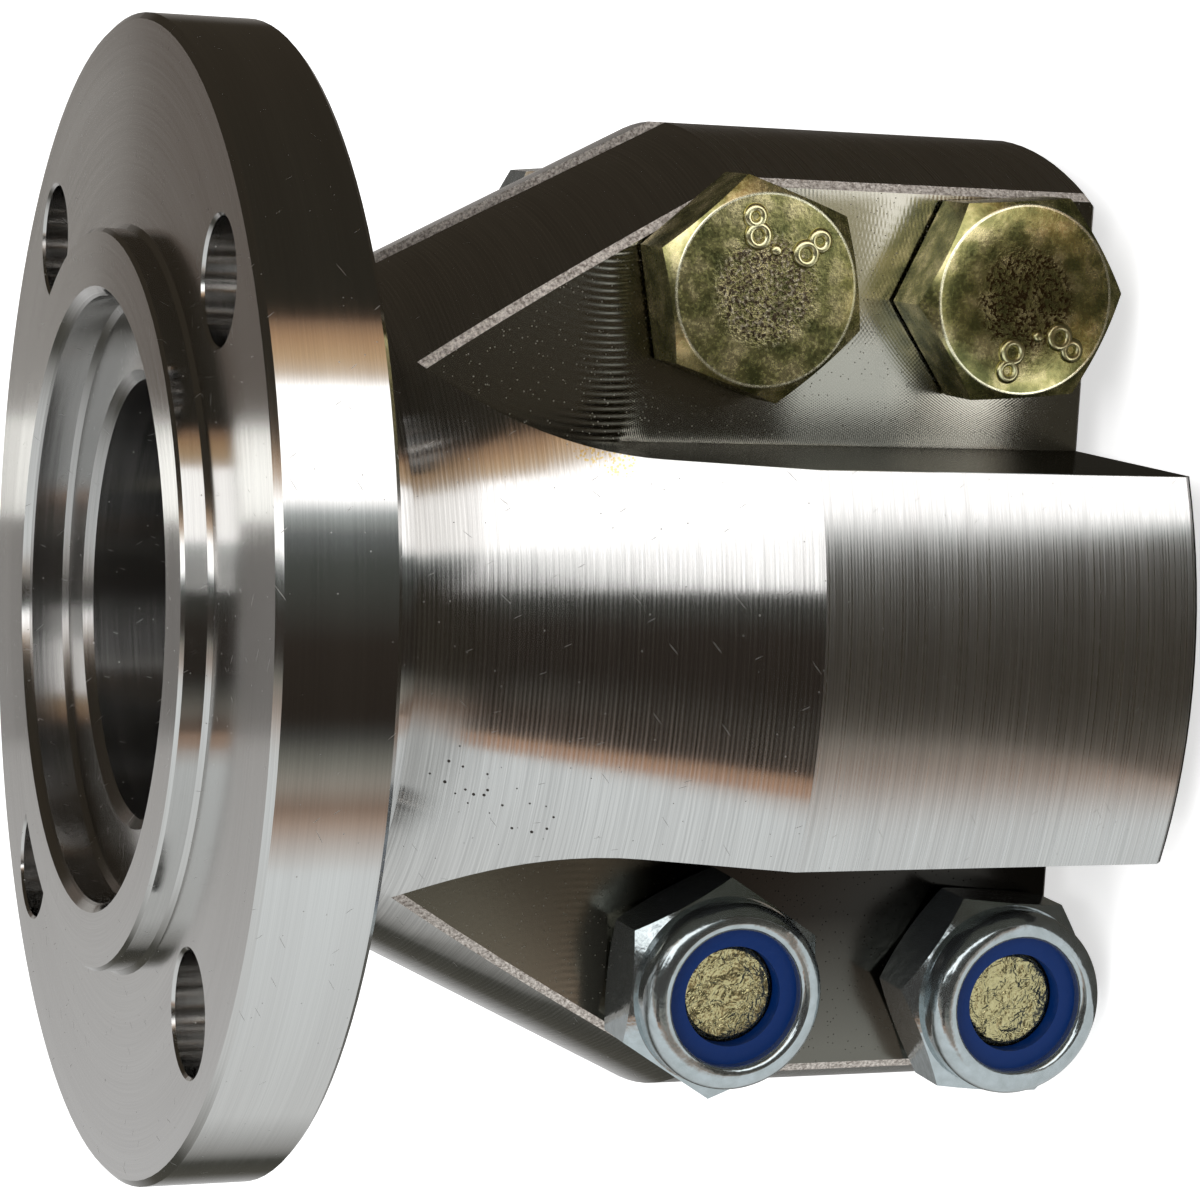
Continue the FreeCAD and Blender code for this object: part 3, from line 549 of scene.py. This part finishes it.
zinc, tree = new_material("yellow_zinc")
spot = place_in_mm(tree)
flat_spot = add(tree, VECTOR, (spot, (1.0, 0.0, 1.0)), operation="MULTIPLY")
from_axis = 100.0
for x, z, turn in BOLTS:
    gap = add(tree, VECTOR, (flat_spot, (x, 0.0, z)), operation="DISTANCE")
    from_axis = add(tree, MATH, (from_axis, gap.outputs["Value"]), operation="MINIMUM")
axes = add(tree, "ShaderNodeSeparateXYZ", (spot,))
side = axes.outputs["Y"]
side_reach = add(tree, MATH, (side,), operation="ABSOLUTE")
tip = add(tree, MATH, (side_reach, HEAD_FACE + 0.2), operation="GREATER_THAN")
on_face = add(tree, MATH, (side_reach, HEAD_FACE - 0.05), operation="GREATER_THAN")
blotch = add(tree, "ShaderNodeTexNoise", {"Vector": spot, "Scale": 0.5, "Detail": 3.0})
mottle = add(tree, "ShaderNodeTexNoise", {"Vector": spot, "Scale": 3.6, "Detail": 3.0,
                                          "Roughness": 0.6})
middle = add(tree, "ShaderNodeMapRange", {"Value": from_axis, "From Min": 5.2, "From Max": 4.0})
ragged = add(tree, "ShaderNodeMapRange", {"Value": mottle, "From Min": 0.4, "From Max": 0.55})
middle = add(tree, MATH, (middle, ragged), operation="MULTIPLY")
middle = add(tree, MATH, (middle, on_face), operation="MULTIPLY")
not_tip = add(tree, MATH, (1.0, tip), operation="SUBTRACT")
middle = add(tree, MATH, (middle, not_tip), operation="MULTIPLY")
film = add(tree, "ShaderNodeValToRGB", {"Fac": blotch})
film.color_ramp.elements[0].position, film.color_ramp.elements[1].position = 0.34, 0.66
film.color_ramp.elements[0].color = colour("#74764A")
film.color_ramp.elements[1].color = colour("#E0D4A0")
film.color_ramp.elements.new(0.5).color = colour("#A4A06A")
shade = add(tree, "ShaderNodeMapRange", {"Value": mottle, "From Min": 0.35, "From Max": 0.65,
                                         "To Min": 0.78, "To Max": 1.14})
film_colour = add(tree, VECTOR, {"Vector": film.outputs["Color"], "Scale": shade}, operation="SCALE")
grit = add(tree, "ShaderNodeTexNoise", {"Vector": spot, "Scale": 3.0, "Detail": 3.0})
pale_grit = add(tree, "ShaderNodeMapRange", {"Value": grit, "From Min": 0.5, "From Max": 0.66})
middle_colour = add(tree, MIX, {"Factor": pale_grit, "A": colour("#544838"), "B": colour("#C8BEA4")},
                    data_type="RGBA")
brown = add(tree, MATH, (axes.outputs["Z"], 24.0), operation="LESS_THAN")
middle_colour = add(tree, MIX, {"Factor": brown, "A": middle_colour, "B": colour("#4E3E28")},
                    data_type="RGBA")
film_colour = add(tree, MIX, {"Factor": middle, "A": film_colour, "B": middle_colour},
                  data_type="RGBA")
# Painted highlight: a thin bright line runs round the flat of the head, where the chamfer meets it.
painted_edge_highlight = add(tree, MATH, (from_axis, HEAD_FLAT, 0.14), operation="COMPARE")
painted_edge_highlight = add(tree, MATH, (painted_edge_highlight, on_face), operation="MULTIPLY")
film_colour = add(tree, MIX, {"Factor": painted_edge_highlight, "A": film_colour, "B": colour("#F4F0D0")},
                  data_type="RGBA")
tip_colour = add(tree, MIX, {"Factor": mottle, "A": colour("#8C8252"), "B": colour("#F0E6B4")},
                 data_type="RGBA")
film_colour = add(tree, MIX, {"Factor": tip, "A": film_colour, "B": tip_colour}, data_type="RGBA")
flat_face = add(tree, MATH, (from_axis, HEAD_FLAT - 0.03), operation="LESS_THAN")
flat_face = add(tree, MATH, (flat_face, on_face), operation="MULTIPLY")
pressed_depth = add(tree, "ShaderNodeMapRange", {"Value": flat_face, "To Min": 3e-6, "To Max": 1.3e-5})
pressed = add(tree, MATH, (mottle, pressed_depth), operation="MULTIPLY")
wave = add(tree, MATH, (blotch, 2e-5), operation="MULTIPLY")
relief = add(tree, MATH, (pressed, wave), operation="ADD")
grit_relief = add(tree, MATH, (grit, 4e-5), operation="MULTIPLY")
relief_middle = add(tree, MATH, (relief, grit_relief), operation="ADD")
relief = add(tree, MIX, {"Factor": middle, "A": relief, "B": relief_middle})
dents = add(tree, "ShaderNodeTexNoise", {"Vector": spot, "Scale": 0.8, "Detail": 3.0,
                                         "Distortion": 0.4})
dent_relief = add(tree, MATH, (dents, 7.5e-4), operation="MULTIPLY")
relief = add(tree, MIX, {"Factor": tip, "A": relief, "B": dent_relief})
bump = add(tree, "ShaderNodeBump", {"Strength": 1.0, "Distance": 1.0, "Height": relief})
zinc_rough = add(tree, "ShaderNodeMapRange", {"Value": mottle, "From Min": 0.35, "From Max": 0.65,
                                              "To Min": 0.18, "To Max": 0.3})
zinc_shader = add(tree, "ShaderNodeBsdfPrincipled", {
    "Base Color": film_colour, "Metallic": 0.92, "Roughness": zinc_rough, "Normal": bump})
add(tree, "ShaderNodeOutputMaterial", {"Surface": zinc_shader})
for number in range(1, len(BOLTS) + 1):
    dress(f"clamp_bolt_{number}", zinc)

# The raised figures are rubbed, so they are smoother than the head. Their paler colour is partly wear and
# partly painted highlight.
rubbed_highlit, tree = new_material("rubbed_highlit_yellow_zinc")
wear_and_highlight = add(tree, "ShaderNodeTexNoise", {"Vector": place_in_mm(tree), "Scale": 1.5})
rubbed_highlit_colour = add(tree, MIX, {"Factor": wear_and_highlight, "A": colour("#CCC890"), "B": colour("#FAF4CC")},
                    data_type="RGBA")
rubbed_highlit_shader = add(tree, "ShaderNodeBsdfPrincipled", {
    "Base Color": rubbed_highlit_colour, "Metallic": 1.0, "Roughness": 0.28})
add(tree, "ShaderNodeOutputMaterial", {"Surface": rubbed_highlit_shader})

# Strength class on each head: forged figures 8.8 that stand 0.2 mm proud, tops outwards. Each
# figure is two rings of round wire, and the point is a bead.
FIGURE_CENTRE, FIGURE_SPREAD, STROKE = 5.4, 30.0, 0.4


def add_ring(curve, centre, radius, level):
    """A closed round stroke in the XZ plane, in millimetres."""
    line = curve.splines.new("POLY")
    line.points.add(23)
    line.use_cyclic_u = True
    for number, point in enumerate(line.points):
        angle = math.radians(15 * number)
        point.co = ((centre[0] + radius * math.cos(angle)) / 1000, level / 1000,
                    (centre[1] + radius * math.sin(angle)) / 1000, 1.0)


for number, (x, z, turn) in enumerate(BOLTS, start=1):
    level = -HEAD_FACE if number < 3 else HEAD_FACE
    figures = bpy.data.curves.new(f"strength_figures_{number}", "CURVE")
    figures.dimensions = "3D"
    figures.bevel_depth, figures.bevel_resolution = STROKE / 1000, 3
    for spread in (-FIGURE_SPREAD, FIGURE_SPREAD):
        angle = math.radians(turn + spread)
        for reach, radius in ((0.86, 0.72), (-0.78, 0.86)):
            centre = (x + (FIGURE_CENTRE + reach) * math.cos(angle),
                      z + (FIGURE_CENTRE + reach) * math.sin(angle))
            add_ring(figures, centre, radius, level)
    angle = math.radians(turn + 6)
    add_ring(figures, (x + 3.4 * math.cos(angle), z + 3.4 * math.sin(angle)), 0.14, level)
    item = new_object(f"strength_figures_{number}", figures, rubbed_highlit)
    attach(item, "root")

# Lock nuts: cold formed, bright zinc plated with a clear bluish passivation. The collar was
# rolled in over the ring, which leaves it slightly wavy.
clear, tree = new_material("clear_zinc")
spot = place_in_mm(tree)
ripple = add(tree, "ShaderNodeTexNoise", {"Vector": spot, "Scale": 0.9, "Detail": 2.0})
pores = add(tree, "ShaderNodeTexNoise", {"Vector": spot, "Scale": 5.0, "Detail": 2.0})
ripple_relief = add(tree, MATH, (ripple, 3.5e-5), operation="MULTIPLY")
pore_relief = add(tree, MATH, (pores, 3e-6), operation="MULTIPLY")
relief = add(tree, MATH, (ripple_relief, pore_relief), operation="ADD")
bump = add(tree, "ShaderNodeBump", {"Strength": 1.0, "Distance": 1.0, "Height": relief})
clear_colour = add(tree, MIX, {"Factor": ripple, "A": colour("#A2AAAA"), "B": colour("#C6CED2")},
                   data_type="RGBA")
clear_rough = add(tree, "ShaderNodeMapRange", {"Value": pores, "From Min": 0.35, "From Max": 0.65,
                                               "To Min": 0.1, "To Max": 0.2})
clear_shader = add(tree, "ShaderNodeBsdfPrincipled", {
    "Base Color": clear_colour, "Metallic": 0.94, "Roughness": clear_rough, "Normal": bump})
add(tree, "ShaderNodeOutputMaterial", {"Surface": clear_shader})
for number in range(1, 5):
    dress(f"lock_nut_{number}", clear)

# Locking rings: blue nylon, moulded and then pressed into the collar, so their face is satin.
nylon, tree = new_material("blue_nylon")
spot = place_in_mm(tree)
scuffs = add(tree, "ShaderNodeTexNoise", {"Vector": spot, "Scale": 1.6, "Detail": 3.0})
scuff_relief = add(tree, MATH, (scuffs, 5e-5), operation="MULTIPLY")
bump = add(tree, "ShaderNodeBump", {"Strength": 1.0, "Distance": 1.0, "Height": scuff_relief})
nylon_rough = add(tree, "ShaderNodeMapRange", {"Value": scuffs, "To Min": 0.3, "To Max": 0.5})
nylon_shader = add(tree, "ShaderNodeBsdfPrincipled", {
    "Base Color": colour("#042A64"), "Roughness": nylon_rough, "Specular IOR Level": 0.2,
    "Normal": bump})
add(tree, "ShaderNodeOutputMaterial", {"Surface": nylon_shader})
for number in range(1, 5):
    dress(f"nylon_ring_{number}", nylon)
